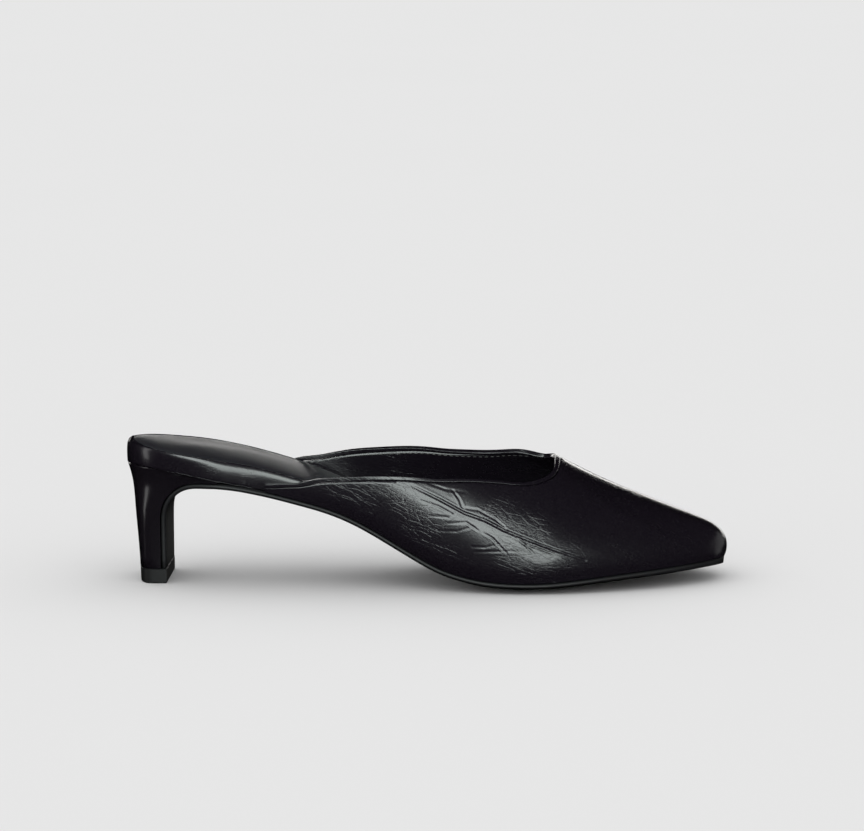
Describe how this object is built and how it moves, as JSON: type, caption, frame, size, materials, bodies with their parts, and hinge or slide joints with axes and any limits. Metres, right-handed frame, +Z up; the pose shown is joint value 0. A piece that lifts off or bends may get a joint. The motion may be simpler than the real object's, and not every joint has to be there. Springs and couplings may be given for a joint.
{
  "type": "heeled mule",
  "caption": "Backless right shoe in crinkled black patent leather: almond toe, curved throat, padded footbed, slim block heel and thin sole.",
  "frame": {"origin": "middle of the top lift's underside, on the floor", "axes": "+X from the heel to the toe, +Y to the inner side of the foot, +Z up"},
  "size_m": [0.2425, 0.0786, 0.0574],
  "materials": {
    "patent_leather": "crinkled gloss",
    "lining_leather": "satin",
    "sole_leather": "satin",
    "heel_cover": "smooth gloss",
    "lift_rubber": "matt"
  },
  "bodies": {
    "root": {"upper": "patent_leather", "topline_binding": "patent_leather", "rand": "patent_leather", "footbed": "lining_leather", "outsole": "sole_leather", "heel": "heel_cover", "top_lift": "lift_rubber"}
  },
  "joints": []
}
